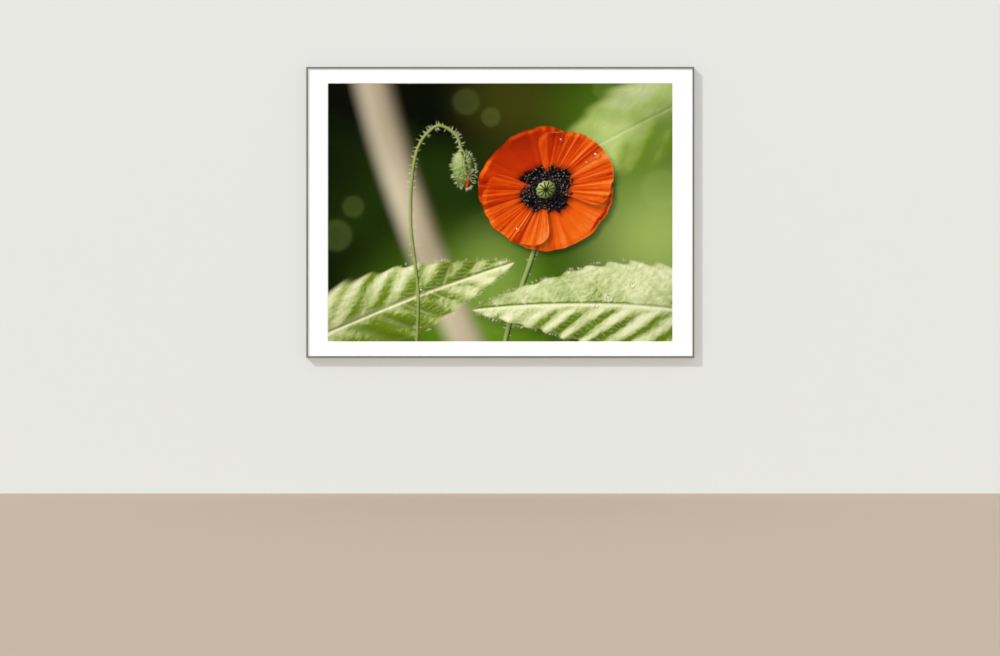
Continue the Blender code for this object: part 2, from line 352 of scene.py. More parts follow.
def daylight(height, x, z, step=0.0004):
    """How bright the sun makes a relief, from 0 to 1."""
    here = height(x, z)
    slope_x = (height(x + step, z) - here) / step
    slope_z = (height(x, z + step) - here) / step
    sunward = SUN[2] - slope_x * SUN[0] - slope_z * SUN[1]
    return sunward / np.sqrt(1 + slope_x**2 + slope_z**2)


# The garden behind. Each glow of green has its place, its flattening, its reach, its strength and its
# colour. Each spot of light has its place, its radius and its strength.
GARDEN_BLACK = screen_colour(6, 9, 1)
GARDEN_SHADE = screen_colour(44, 72, 8)
MOSS = screen_colour(66, 68, 14)
LEAFY = screen_colour(98, 136, 24)
FRESH = screen_colour(176, 200, 104)
GLOWS = [
    (-0.06, -0.30, 1.2, (0.42, 0.02), 0.95, LEAFY),
    (0.42, -0.06, 0.9, (0.30, 0.0), 0.75, FRESH),
    (0.04, 0.30, 1.0, (0.22, 0.02), 0.8, MOSS),
    (0.34, 0.24, 1.0, (0.30, 0.02), 0.7, LEAFY),
    (-0.02, -0.16, 0.8, (0.16, 0.0), 0.35, FRESH),
]
SPOTS_OF_LIGHT = [
    (0.335, 0.290, 0.046, 0.16),
    (0.415, 0.215, 0.036, 0.18),
    (0.270, 0.325, 0.028, 0.10),
    (-0.090, 0.290, 0.034, 0.07),
    (-0.025, 0.250, 0.024, 0.08),
    (0.445, 0.310, 0.030, 0.12),
    (-0.430, -0.060, 0.040, 0.09),
    (-0.385, 0.015, 0.028, 0.08),
    (0.420, 0.060, 0.050, 0.14),
]
STALK_SHADE = screen_colour(112, 92, 64)
STALK_LIGHT = screen_colour(228, 212, 184)
STALK_TOP = (-0.335, 0.34)
STALK_LEAN = 0.24
STALK_HALF_WIDTH = (0.075, 0.012)


def paint_backdrop(ink, x, z):
    """A garden far behind the flower, quite out of focus: shade, leaves, spots of light and a pale stalk."""
    drift = clouds(x, z, 0.34, 1)
    ink = between(GARDEN_BLACK, GARDEN_SHADE, 0.50 + 0.8 * drift - 1.2 * (z - 0.02) + 1.1 * x)
    for glow_x, glow_z, flatter, (reach, full), strength, colour in GLOWS:
        ink = lay(ink, colour, strength * ease(reach, full, np.hypot(x - glow_x, flatter * (z - glow_z))))
    for *spot, radius, strength in SPOTS_OF_LIGHT:
        far = away(x, z, spot) / radius
        ink = lay(ink, FRESH, strength * ease(1.22, 0.80, far) * (0.8 + 0.3 * far**2))
    rise = z - STALK_TOP[1]
    off = x - STALK_TOP[0] + STALK_LEAN * rise - 0.18 * rise**2
    mottle = 0.25 * drift + 0.35 * clouds(x, z, 0.15, 4, 2)
    stalk = between(STALK_SHADE, STALK_LIGHT, 0.66 - 6 * off + mottle)
    return lay(ink, stalk, 0.93 * ease(*STALK_HALF_WIDTH, np.abs(off)))


# The leaves. Each side vein ends in a tooth of the edge. Ladders of fine veins and hairs run between them.
LEAF_SHADE = screen_colour(34, 56, 6)
LEAF_SHINE = screen_colour(250, 250, 222)
LEAF_VEIN = screen_colour(246, 244, 200)
LEAF_RIM = screen_colour(158, 142, 92)
VEIN_SLANT = 4.5
TOOTH_DEPTH = 0.09
PUFF = 0.0017
WRINKLES = 0.0008
GROOVE_DEPTH = 0.0022
GROOVE_WIDTH = 0.0042
LEAF_KEEL = 0.08
LEAF_ARCH = 1.1
LEAF_WAVES = 0.018
MIDRIB_WIDTH = 0.0032
VEIN_WIDTH = 0.0012
LADDER_PITCH = 0.0085
OUT_OF_FOCUS = (0.17, 0.46)
HAIR = screen_colour(224, 222, 184)
HAIRS_ON_LEAF = 190
HAIRS_SEEN = 0.24
HAIR_LEAN = (0.6, 1.2)
HAIR_LENGTH = (0.006, 0.012)


class Leaf:
    """A toothed leaf. It runs from its root along an angle, and bends to one side on the way."""

    def __init__(
        self, root, angle, length, width, bend, pairs, seed, blur, sharp_at, flesh, light, crisp=1.0
    ):
        """Blur is how soft the leaf is at its sharpest place, and how much softer it gets further off."""
        self.root, self.angle, self.length, self.width = root, angle, length, width
        self.bend, self.pairs, self.seed, self.crisp = bend, pairs, seed, crisp
        self.blur, self.sharp_at, self.flesh, self.light = blur, sharp_at, flesh, light

    def midrib(self, share):
        """How far the midrib has bent aside, at this share of the leaf's length."""
        return self.bend * share**2 - 0.005 * waver(share, 0.35, self.seed)

    def edge(self, share, off):
        """The leaf's half width, and the place between two side veins."""
        reach = np.abs(off) / self.width
        slant = VEIN_SLANT * (0.16 + 0.10 * reach) * reach * self.width / self.length
        astray = 0.012 * lumps(share, off, 0.2, self.seed + 1)
        veins = self.pairs * (share - slant + astray) + 0.5 * (off > 0)
        cell = veins - np.floor(veins)
        tooth = ease(0.05, 0.55, cell) * ease(1.0, 0.62, cell)
        inner = np.clip(share, 0, 1)
        half = self.width * np.sin(pi * inner**0.78) ** 0.7 * (1 - 0.42 * inner)
        half *= 1 + TOOTH_DEPTH * tooth + 0.05 * waver(share, 0.13, self.seed + 2)
        return half - 0.002, cell

    def place(self, x, z):
        """The share along the midrib, the distance off it, and the edge there."""
        along, across = turned_to(x, z, self.root, self.angle)
        share = along / self.length
        off = across - self.midrib(share)
        return share, off, *self.edge(share, off)

    def inside(self, x, z):
        """How far a place is inside the leaf's edge."""
        share, off, half, _ = self.place(x, z)
        return np.minimum(half - np.abs(off), np.minimum(share, 1 - share) * self.length)

    def height(self, x, z):
        """The leaf's relief: it puffs up between the veins and sinks along the midrib."""
        _, off, _, cell = self.place(x, z)
        puff = PUFF * (1 + 0.5 * lumps(x, z, 0.06, self.seed + 3))
        fine = -puff * np.cos(2 * pi * cell) * ease(0, 0.03, np.abs(off))
        fine += WRINKLES * clouds(x, z, 0.012, self.seed + 5, 2)
        fine -= GROOVE_DEPTH * np.exp(-((off / GROOVE_WIDTH) ** 2))
        keel = LEAF_KEEL * np.hypot(off, 0.05 * (1 - self.crisp))
        arch = keel - LEAF_ARCH * off**2 + LEAF_WAVES * lumps(x, z, 0.15, self.seed + 4)
        return self.crisp * fine + arch

    def paint(self, ink, x, z):
        """The leaf, lit by its relief, with its veins and its rim."""
        share, off, half, cell = self.place(x, z)
        soft = self.blur[0] + self.blur[1] * ease(*OUT_OF_FOCUS, away(x, z, self.sharp_at))
        sun = daylight(self.height, x, z)
        patch = clouds(x, z, 0.09, self.seed + 6)
        green = between(LEAF_SHADE, self.flesh, 1.6 * sun - 0.10 + 0.12 * patch)
        green = between(green, self.light, 3.1 * (sun - 0.55) + 0.45 * patch)
        green = lay(green, LEAF_SHINE, 0.75 * ease(0.76, 0.97, sun))

        def vein(far, width):
            return ease(width + soft, width * 0.3, far) * width / (width + 0.6 * soft)

        ladder = np.abs(off) / LADDER_PITCH + 0.6 * clouds(x, z, 0.016, self.seed + 7, 2)
        ladder += 2.3 * np.floor(7 * cell)
        rung = ease(0.16, 0.04, np.abs(ladder - np.round(ladder))) * ease(0.010, 0.003, soft)
        green = lay(green, LEAF_VEIN, 0.20 * rung * ease(0.05, 0.25, np.minimum(cell, 1 - cell)))
        to_vein = 0.72 * np.abs(cell - np.round(cell)) * self.length / self.pairs
        fading = ease(1.0, 0.55, np.abs(off) / np.maximum(half, 0.0001))
        green = lay(green, LEAF_VEIN, 0.7 * vein(to_vein, VEIN_WIDTH) * fading)
        taper = 1.2 - np.clip(share, 0, 1)
        green = lay(green, LEAF_VEIN, 0.95 * vein(np.abs(off), MIDRIB_WIDTH * taper))
        inside = self.inside(x, z)
        rim = ease(0.0040 + soft, 0.0006, inside) * 0.002 / (0.002 + 0.3 * soft)
        green = lay(green, LEAF_RIM, 0.55 * rim)
        return lay(ink, green, ease(-soft / 2, soft / 2, inside))

    def cast_shadow(self, ink, x, z, shift, soft):
        """The leaf's soft shadow on what is behind it."""
        inside = self.inside(x - shift[0], z - shift[1])
        return darken(ink, 0.5 * ease(-soft / 2, soft / 2, inside))

    def hairs(self):
        """Short hairs along the edge, leaning to the tip, where the leaf is in focus."""
        draw = np.random.default_rng(self.pairs)
        count = HAIRS_ON_LEAF
        share, side = draw.uniform(0.08, 0.98, count), draw.choice((-1.0, 1.0), count)
        lean, length = draw.uniform(*HAIR_LEAN, count), draw.uniform(*HAIR_LENGTH, count)
        across = self.midrib(share) + side * self.edge(share, side * self.width)[0]
        x, z = turned_back(share * self.length, across, self.root, self.angle)
        way = np.array([np.cos(self.angle + side * lean), np.sin(self.angle + side * lean)])
        in_focus = away(x, z, self.sharp_at) < HAIRS_SEEN
        return [((x[i], z[i]), way[:, i], length[i]) for i in np.flatnonzero(in_focus)]


def paint_hairs(ink, x, z, hairs, strength):
    """Fine hairs, each a root, a direction and a length. They thin out to their tips."""
    for root, way, length in hairs:
        near = away(x, z, root) < length + 0.002
        if near.any():
            right, up = x[near] - root[0], z[near] - root[1]
            share = (right * way[0] + up * way[1]) / length
            off = np.abs(right * way[1] - up * way[0] + 0.12 * length * share**2)
            cover = ease(0.0017, 0.0003, off) * ease(-0.1, 0.1, share) * ease(1.0, 0.3, share)
            ink[near] = lay(ink[near], HAIR, strength * cover)
    return ink


def paint_leaf(ink, x, z, leaf):
    """Paints the hairs of a leaf's edge, and the leaf over their roots."""
    ink = paint_hairs(ink, x, z, leaf.hairs(), 0.45)
    middle = turned_back(leaf.length / 2, 0, leaf.root, leaf.angle)
    paint_near(ink, x, z, middle, 0.62 * leaf.length, leaf.paint)
    return ink


# The poppy. Four crumpled petals, each with a black blotch at its foot, round a ribbed seed head and a ring
# of dark threads with dusty tips. The flower is a disc, tilted a little.
FLOWER = (0.120, 0.060)
FLOWER_TURN = radians(24)
FLOWER_TILT = 0.86
PETAL_SHADE = screen_colour(116, 18, 2)
PETAL_RED = screen_colour(214, 56, 4)
PETAL_ORANGE = screen_colour(244, 112, 20)
PETAL_SHINE = screen_colour(255, 184, 108)
PETAL_RIM = screen_colour(255, 150, 84)
BLOTCH_EDGE = screen_colour(96, 12, 4)
BLOTCH_BLACK = screen_colour(5, 4, 6)
BLOTCH_SHEEN = screen_colour(84, 80, 92)
PETAL_CUP = 0.034
# Each kind of fold has its depth, its growth outwards, its change on the way, its width and its seed.
PETAL_FOLDS = [
    (0.013, 2.5, 0.25, 0.45, 11),
    (0.0050, 3, 0.3, 0.17, 13),
    (0.0020, 1, 0.06, 0.065, 17),
    (0.0007, 1, 0.05, 0.026, 19),
]
CRUMPLES = 0.0011
ROUND_CORNER = 0.032
PETAL_SHADOW = (0.010, -0.011)


def round_the_flower(x, z):
    """How far a place is from the poppy's middle, and in which direction, on the flower's tilted disc."""
    wide, high = turned_to(x, z, FLOWER, FLOWER_TURN)
    return np.hypot(wide, high / FLOWER_TILT), np.arctan2(high / FLOWER_TILT, wide)


class Petal:
    """A crumpled petal of silk, as wide as its spread to both sides of its heading."""

    def __init__(self, heading, spread, reach, seed):
        self.heading, self.spread, self.reach, self.seed = radians(heading), radians(spread), reach, seed

    def place(self, x, z):
        """Out from the middle, the angle off the heading, and how far inside the petal's edge."""
        out, angle = round_the_flower(x, z)
        side = (angle - self.heading + pi) % (2 * pi) - pi
        ragged = 0.034 * waver(side, 0.40, self.seed) + 0.016 * waver(side, 0.15, self.seed + 2)
        ragged += 0.007 * waver(side, 0.05, self.seed + 4)
        rim = self.reach * (1 - 0.10 * np.clip(np.abs(side) / self.spread, 0, 1.3) ** 3 + ragged)
        share = out / self.reach
        wide = self.spread * (0.90 + 0.22 * share - 0.10 * share**2)
        wide += 0.05 * waver(share, 0.3, self.seed + 6)
        to_rim, to_side = rim - out, (wide - np.abs(side)) * out
        mix = np.clip(0.5 + 0.5 * (to_side - to_rim) / ROUND_CORNER, 0, 1)
        return out, side, to_side + (to_rim - to_side) * mix - ROUND_CORNER * mix * (1 - mix)

    def height(self, x, z):
        """The petal's relief: cupped, waved along its rim and finely pleated from the middle."""
        out, side, inside = self.place(x, z)
        share = np.clip(out / self.reach, 0, 1.1)
        relief = PETAL_CUP * share**2.4
        for depth, growth, change, size, seed in PETAL_FOLDS:
            relief += depth * share**growth * lumps(side, share * change, size, self.seed + seed)
        relief += CRUMPLES * share * clouds(x, z, 0.034, self.seed + 21)
        curl = 0.0024 + 0.0054 * waver(side, 0.3, self.seed + 23)
        return relief - curl * share * ease(0.014, 0, inside)

    def paint(self, ink, x, z):
        """The petal, lit by its relief, with its black blotch and its bright rim."""
        out, side, inside = self.place(x, z)
        sun = daylight(self.height, x, z)
        share = np.clip(out / self.reach, 0, 1)
        red = between(PETAL_SHADE, PETAL_RED, 1.45 * sun - 0.08)
        red = between(red, PETAL_ORANGE, 2.2 * (sun - 0.55) + 0.25 * (share - 0.5))
        red = between(red, PETAL_SHINE, 2.6 * (sun - 0.84))
        red = darken(red, 0.10 * share * lumps(side, share * 0.04, 0.018, self.seed + 29))
        blotch = self.reach * (0.41 - 0.22 * (side / self.spread) ** 2)
        blotch += 0.010 * waver(side, 0.12, self.seed + 31) + 0.004 * waver(side, 0.04, self.seed + 33)
        red = lay(red, BLOTCH_EDGE, 0.6 * ease(0.024, 0, out - blotch))
        black = between(BLOTCH_BLACK, BLOTCH_SHEEN, 1.7 * (sun - 0.72))
        red = lay(red, black, ease(0.006, -0.004, out - blotch))
        lit_rim = 0.10 + 0.5 * share * waver(side, 0.11, self.seed + 37)
        red = lay(red, PETAL_RIM, lit_rim * ease(0.0034, 0.0004, inside))
        return lay(ink, red, ease(-0.0011, 0.0011, inside))

    def cast_shadow(self, ink, x, z):
        """The petal's soft shadow on what is below it."""
        inside = self.place(x - PETAL_SHADOW[0], z - PETAL_SHADOW[1])[2]
        return darken(ink, 0.6 * ease(-0.011, 0.011, inside))


THREAD = screen_colour(66, 48, 66)
THREAD_LENGTH = 0.056
RINGS_OF_THREADS = ((0.0, 58), (1.7, 44))
DUST_SHADE = screen_colour(12, 9, 12)
DUST_LIGHT = screen_colour(172, 158, 132)
DUSTY_TIPS = 170
TIP_SIZE = (0.0044, 0.0026)
SEED_HEAD = 0.0262
SEED_HEAD_SHADE = screen_colour(50, 66, 18)
SEED_HEAD_GREEN = screen_colour(170, 184, 98)
SEED_HEAD_SHINE = screen_colour(232, 236, 186)
RAY = screen_colour(38, 26, 30)
RAYS = 11


def paint_threads(ink, x, z):
    """The dark threads and their dusty tips."""
    out, angle = round_the_flower(x, z)
    ink = darken(ink, 0.5 * ease(0.078, 0.025, out))
    for seed, count in RINGS_OF_THREADS:
        turn = (angle + seed) / (2 * pi) * count
        thread = np.floor(turn)
        off = np.abs(turn - thread - 0.5 + 0.25 * np.sin(91.7 * thread + 13.1 * seed)) / count * 2 * pi * out
        length = THREAD_LENGTH + 0.012 * np.sin(37.3 * thread + seed)
        ink = lay(ink, THREAD, 0.7 * ease(0.0013, 0.0004, off) * ease(length, length - 0.006, out))
    draw = np.random.default_rng(11)
    for _ in range(DUSTY_TIPS):
        turn, reach, light = draw.uniform(0, 2 * pi), 0.030 + 0.040 * draw.random() ** 0.85, draw.random()
        tip = turned_back(reach * cos(turn), FLOWER_TILT * reach * sin(turn), FLOWER, FLOWER_TURN)
        long, short = turned_to(x, z, tip, turn + 0.9 * draw.normal())
        below = np.hypot((x - tip[0] - 0.0012) / 0.0048, (z - tip[1] + 0.0014) / 0.0042)
        ink = darken(ink, 0.55 * ease(1.5, 0.5, below))
        sheen = ease(0.0026, 0, np.hypot(x - tip[0] + 0.0011, z - tip[1] - 0.0011))
        dust = between(DUST_SHADE, DUST_LIGHT, (0.35 + 0.6 * light) * sheen)
        ink = lay(ink, dust, ease(1.15, 0.75, np.hypot(long / TIP_SIZE[0], short / TIP_SIZE[1])))
    return ink


def paint_heart(ink, x, z):
    """The poppy's middle: the threads, and the seed head with its dark rays."""
    ink = paint_threads(ink, x, z)
    out, angle = round_the_flower(x, z)

    def dome(at_x, at_z):
        return np.sqrt(np.maximum(0, (1.12 * SEED_HEAD) ** 2 - away(at_x, at_z, FLOWER) ** 2))

    sun = daylight(dome, x, z)
    green = between(SEED_HEAD_SHADE, SEED_HEAD_GREEN, 1.1 * sun)
    green = lay(green, SEED_HEAD_SHINE, 4 * (sun - 0.88))
    lane = (angle / (2 * pi) * RAYS) % 1
    ray = np.abs(lane - 0.5) / RAYS * 2 * pi * out
    green = lay(green, RAY, ease(0.0026, 0.0010, ray) * ease(0.99, 0.84, out / SEED_HEAD))
    below = np.hypot(x - FLOWER[0] - 0.006, z - FLOWER[1] + 0.007) / SEED_HEAD
    ink = darken(ink, 0.75 * ease(1.55, 0.9, below))
    return lay(ink, green, ease(1.03, 0.95, out / SEED_HEAD / (1 - 0.05 * np.cos(2 * pi * lane))))


# The stems and the nodding bud. Both are bristly, and the bud's green case has begun to split over the
# red petals inside it.
STEM_SHADE = screen_colour(28, 43, 9)
STEM_GREEN = screen_colour(165, 179, 99)
HOOKED_STEM = [
    (-0.225, -0.42),
    (-0.215, -0.22),
    (-0.235, -0.02),
    (-0.222, 0.15),
    (-0.17, 0.225),
    (-0.118, 0.205),
    (-0.102, 0.165),
]
FLOWER_STEM = [(0.00, -0.40), (0.03, -0.27), (0.072, -0.15), (0.105, -0.05)]
STEM_STEPS = 48
BRISTLE_LENGTH = (0.008, 0.016)
BUD = (-0.096, 0.112)
BUD_ANGLE = radians(-82)
BUD_LENGTH = 0.098
BUD_WIDTH = 0.060
BUD_BRISTLES = (80, 90)
BUD_BRISTLE_LENGTH = (0.009, 0.016)
CASE_SHADE = screen_colour(38, 54, 12)
CASE_GREEN = screen_colour(126, 150, 66)
CASE_SHINE = screen_colour(214, 220, 160)
CASE_SEAM = screen_colour(26, 34, 8)
RED_IN_THE_SPLIT = screen_colour(220, 62, 14)


def smooth_curve(points):
    """Points along a smooth curve that goes through all of these."""
    ends = np.array([points[0], *points, points[-1]], float)
    share = np.linspace(0, len(points) - 1, STEM_STEPS)
    first = np.clip(share.astype(int), 0, len(points) - 2)
    t = (share - first)[:, None]
    a, b, c, d = (ends[first + step] for step in range(4))
    straight = 2 * b + (c - a) * t
    return 0.5 * (straight + (2 * a - 5 * b + 4 * c - d) * t**2 + (3 * b - a - 3 * c + d) * t**3)


def paint_stem(ink, x, z, points, width, soft, count, seed):
    """A stem along a smooth curve through its points, with this many bristles."""
    curve = smooth_curve(points)
    draw = np.random.default_rng(seed)
    bristles = []
    for place in draw.integers(1, len(curve) - 1, count):
        way = curve[place + 1] - curve[place - 1]
        way /= np.hypot(*way)
        out = np.array([way[1], -way[0]]) * draw.choice((-1, 1)) + way * draw.normal(0, 0.3)
        out /= np.hypot(*out)
        root = curve[place] + way * draw.uniform(-0.004, 0.004) + out * width * 0.3
        bristles.append((root, out, draw.uniform(*BRISTLE_LENGTH)))
    ink = paint_hairs(ink, x, z, bristles, 0.6)
    low, high = curve.min(0) - width, curve.max(0) + width
    near = (x > low[0]) & (x < high[0]) & (z > low[1]) & (z < high[1])
    x, z = x[near], z[near]
    best = np.full(x.shape, 1.0)
    across, way_x, way_z = np.zeros_like(x), np.zeros_like(x), np.ones_like(x)
    for start, end in zip(curve[:-1], curve[1:]):
        run = end - start
        length = np.hypot(*run)
        along = np.clip(((x - start[0]) * run[0] + (z - start[1]) * run[1]) / length**2, 0, 1)
        far = np.hypot(x - start[0] - along * run[0], z - start[1] - along * run[1])
        closer = far < best
        best = np.where(closer, far, best)
        across = np.where(closer, ((x - start[0]) * run[1] - (z - start[1]) * run[0]) / length, across)
        way_x, way_z = np.where(closer, run[0] / length, way_x), np.where(closer, run[1] / length, way_z)
    across = np.clip(2 * across / width, -1, 1)
    sun = (SUN[0] * way_z - SUN[1] * way_x) * across + SUN[2] * np.sqrt(1 - across**2)
    green = between(STEM_SHADE, STEM_GREEN, 1.15 * sun + 0.12 * lumps(x, z, 0.02, seed))
    ink[near] = lay(ink[near], green, ease((width + soft) / 2, (width - soft) / 2, best))
    return ink


def bud_bristles(draw, count, reach_of):
    """Bristles that stand out all round the bud, rooted at these shares of the way to its edge."""
    bristles = []
    for _ in range(count):
        turn, reach = draw.uniform(0, 2 * pi), reach_of()
        along, across = cos(turn) * BUD_LENGTH / 2 * reach, sin(turn) * BUD_WIDTH / 2 * reach
        way = np.array([cos(turn) / BUD_LENGTH, sin(turn) / BUD_WIDTH]) + draw.normal(0, 4, 2)
        way = np.array(turned_back(*way, (0, 0), BUD_ANGLE))
        root = turned_back(along, across, BUD, BUD_ANGLE)
        length = draw.uniform(*BUD_BRISTLE_LENGTH) * (0.4 + 0.6 * reach)
        bristles.append((root, way / np.hypot(*way), length))
    return bristles


def paint_bud(ink, x, z):
    """The bud's outer bristles, its case with the split seam, and the bristles that point this way."""
    draw = np.random.default_rng(5)
    outer, near = BUD_BRISTLES
    ink = paint_hairs(ink, x, z, bud_bristles(draw, outer, lambda: 0.93), 0.6)
    along, across = turned_to(x, z, BUD, BUD_ANGLE)
    share = np.clip(2 * along / BUD_LENGTH, -1, 1)
    round_case = np.sqrt(np.maximum(0.0001, 1 - np.abs(share) ** 2.3))
    half = BUD_WIDTH / 2 * round_case * (1 - 0.10 * share)
    inside = np.minimum(half - np.abs(across), BUD_LENGTH / 2 - np.abs(along))

    def swell(at_x, at_z):
        long, short = turned_to(at_x, at_z, BUD, BUD_ANGLE)
        far = (long / (0.52 * BUD_LENGTH)) ** 2 + (short / (0.52 * BUD_WIDTH)) ** 2
        return BUD_WIDTH / 2 * np.sqrt(np.maximum(0, 1 - far))

    sun = daylight(swell, x, z)
    green = between(CASE_SHADE, CASE_GREEN, 1.15 * sun + 0.1 * lumps(x, z, 0.006, 3))
    green = between(green, CASE_SHINE, 2.2 * (sun - 0.74))
    seam = np.abs(across - 0.16 * BUD_WIDTH * (1 - share**2))
    split = ease(-0.2, 0.9, share)
    green = lay(green, CASE_SEAM, 0.8 * ease(0.0045, 0.0008, seam - 0.0020 * split))
    green = lay(green, RED_IN_THE_SPLIT, 0.95 * split * ease(0.0012, -0.0004, seam - 0.0026 * split))
    ink = lay(ink, green, ease(-0.0015, 0.0015, inside))
    return paint_hairs(ink, x, z, bud_bristles(draw, near, lambda: 0.85 * draw.random() ** 0.5), 0.4)


# The dew. Each drop has its place and its radius.
DEWDROPS = [
    (0.252, 0.150, 0.0090),
    (0.226, 0.131, 0.0046),
    (0.045, -0.045, 0.0070),
    (0.285, -0.225, 0.0090),
    (0.252, -0.243, 0.0050),
    (0.345, -0.190, 0.0065),
    (0.160, 0.190, 0.0056),
    (-0.205, -0.205, 0.0070),
]
SUN_IN_THE_DROP = screen_colour(255, 255, 250)


def paint_dewdrop(ink, x, z, middle, radius):
    """A drop of dew: darker towards the sun, bright on the far side, with the sun's small reflection."""
    right, up = (x - middle[0]) / radius, (z - middle[1]) / radius
    far, down_light = np.hypot(right, up), 0.7 * (right - up)
    drop = ink * (0.5 + 0.95 * ease(-0.9, 1.0, down_light))[:, None] + 0.02
    ring = 0.6 * ease(0.75, 0.98, far) * ease(0.3, -0.9, down_light)
    drop = lay(drop, 0.3 * ink, ring)
    shaded = darken(ink, 0.45 * ease(1.35, 0.6, np.hypot(right - 0.35, up + 0.38)))
    ink = lay(shaded, drop, ease(1.05, 0.92, far))
    return lay(ink, SUN_IN_THE_DROP, ease(0.36, 0.14, np.hypot(right + 0.38, up - 0.40)))


# What the picture shows, and where. Each motif is painted only as far from its middle as its reach.
PETALS = [
    Petal(heading=108, spread=66, reach=0.190, seed=1.3),
    Petal(heading=-72, spread=70, reach=0.184, seed=2.7),
    Petal(heading=193, spread=60, reach=0.170, seed=4.1),
    Petal(heading=16, spread=62, reach=0.180, seed=5.9),
]
BLURRED_LEAF = Leaf(
    root=(0.58, 0.33),
    angle=radians(203),
    length=0.56,
    width=0.130,
    bend=0.040,
    pairs=6,
    seed=8.1,
    blur=(0.034, 0),
    sharp_at=(-1, 0),
    flesh=screen_colour(116, 148, 36),
    light=screen_colour(196, 212, 128),
    crisp=0.25,
)
LOWER_LEAF = Leaf(
    root=(-0.54, -0.36),
    angle=radians(27),
    length=0.62,
    width=0.115,
    bend=-0.060,
    pairs=8,
    seed=3.3,
    blur=(0.004, 0.022),
    sharp_at=(-0.06, -0.12),
    flesh=screen_colour(124, 150, 30),
    light=screen_colour(236, 240, 180),
)
NEAR_LEAF = Leaf(
    root=(0.57, -0.27),
    angle=radians(171),
    length=0.64,
    width=0.130,
    bend=0.085,
    pairs=9,
    seed=6.4,
    blur=(0.0024, 0.020),
    sharp_at=(0.14, -0.16),
    flesh=screen_colour(122, 150, 28),
    light=screen_colour(241, 245, 192),
)
SHADOW_REACH = 0.23
PETAL_REACH = 0.21
HEART_REACH = 0.09
BUD_REACH = 0.08
CORNER_SHADE = 0.18
CORNERS = (0.56, 0.44)


def paint_picture(x, z):
    """The whole picture's inks at these places from its middle, from the furthest thing to the nearest."""
    ink = paint_backdrop(np.zeros((len(x), 3)), x, z)
    ink = paint_leaf(ink, x, z, BLURRED_LEAF)
    ink = paint_leaf(ink, x, z, LOWER_LEAF)
    ink = paint_stem(ink, x, z, FLOWER_STEM, width=0.0135, soft=0.003, count=44, seed=1)
    ink = NEAR_LEAF.cast_shadow(ink, x, z, shift=(0.018, -0.02), soft=0.05)
    ink = paint_leaf(ink, x, z, NEAR_LEAF)
    ink = paint_stem(ink, x, z, HOOKED_STEM, width=0.0088, soft=0.004, count=90, seed=2)
    paint_near(ink, x, z, BUD, BUD_REACH, paint_bud)
    for petal in PETALS:
        paint_near(ink, x, z, FLOWER, SHADOW_REACH, petal.cast_shadow)
        paint_near(ink, x, z, FLOWER, PETAL_REACH, petal.paint)
    paint_near(ink, x, z, FLOWER, HEART_REACH, paint_heart)
    for *middle, radius in DEWDROPS:
        paint_near(ink, x, z, middle, 2.2 * radius, paint_dewdrop, middle, radius)
    to_corner = np.hypot(x / CORNERS[0], z / CORNERS[1])
    return darken(ink, CORNER_SHADE * ease(0.55, 1.15, to_corner))


def finish_here(piece):
    """Puts a piece's place, turn and scale into its mesh, and leaves it active."""
    bpy.ops.object.select_all(action="DESELECT")
    piece.select_set(True)
    bpy.context.view_layer.objects.active = piece
    bpy.ops.object.transform_apply(location=True, rotation=True, scale=True)


def upright_grid(squares, sides, location=(0, 0, 0)):
    """A new flat piece of this many squares, parallel to the wall."""
    bpy.ops.object.select_all(action="DESELECT")
    bpy.ops.mesh.primitive_grid_add(
        x_subdivisions=squares[0],
        y_subdivisions=squares[1],
        size=1,
        location=location,
        rotation=(pi / 2, 0, 0),
    )
    piece = bpy.context.object
    piece.scale = (*sides, 1)
    finish_here(piece)
    return piece


def at_window(mesh):
    """The places of a mesh's points, from the picture's middle."""
    points = np.zeros(3 * len(mesh.vertices))
    mesh.vertices.foreach_get("co", points)
    points = points.reshape(-1, 3)
    return points[:, 0] - picture_middle[0], points[:, 2] - picture_middle[1]


def select_where(piece, kind, rule):
    """Selects the VERT, EDGE or FACE elements of the active piece that the rule picks, in edit mode."""
    bpy.ops.object.mode_set(mode="EDIT")
    bpy.ops.mesh.select_mode(type=kind)
    bpy.ops.mesh.select_all(action="DESELECT")
    bpy.ops.object.mode_set(mode="OBJECT")
    elements = {"VERT": piece.data.vertices, "EDGE": piece.data.edges, "FACE": piece.data.polygons}[kind]
    for element in elements:
        element.select = rule(element)
    bpy.ops.object.mode_set(mode="EDIT")


def sharpen(piece, squares):
    """Divides the squares of the picture whose inks differ most, to hold finer detail there."""
    mesh = piece.data
    faces = [face for face in mesh.polygons if len(face.vertices) == 4 and face.area < largest_square]
    middles = np.array([face.center for face in faces])
    half = np.sqrt([face.area for face in faces]) / 3
    inks = []
    for right in (-1, 0, 1):
        for up in (-1, 0, 1):
            x = middles[:, 0] - picture_middle[0] + right * half
            z = middles[:, 2] - picture_middle[1] + up * half
            inks.append(np.sqrt(np.clip(paint_picture(x, z), 0, 1)))
    contrast = np.ptp(inks, axis=0).sum(axis=1) * half
    chosen = {faces[number].index for number in np.argsort(contrast, kind="stable")[-squares:]}
    select_where(piece, "FACE", lambda face: face.index in chosen)
    bpy.ops.mesh.subdivide(number_cuts=1)
    bpy.ops.object.mode_set(mode="OBJECT")


low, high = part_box("print")
picture_middle = ((low.x + high.x) / 2, (low.z + high.z) / 2)
inked = [side + 2 * UNDER_THE_MAT for side in MAT_WINDOW]
largest_square = 1.5 * inked[0] * inked[1] / FIRST_SQUARES[0] / FIRST_SQUARES[1]

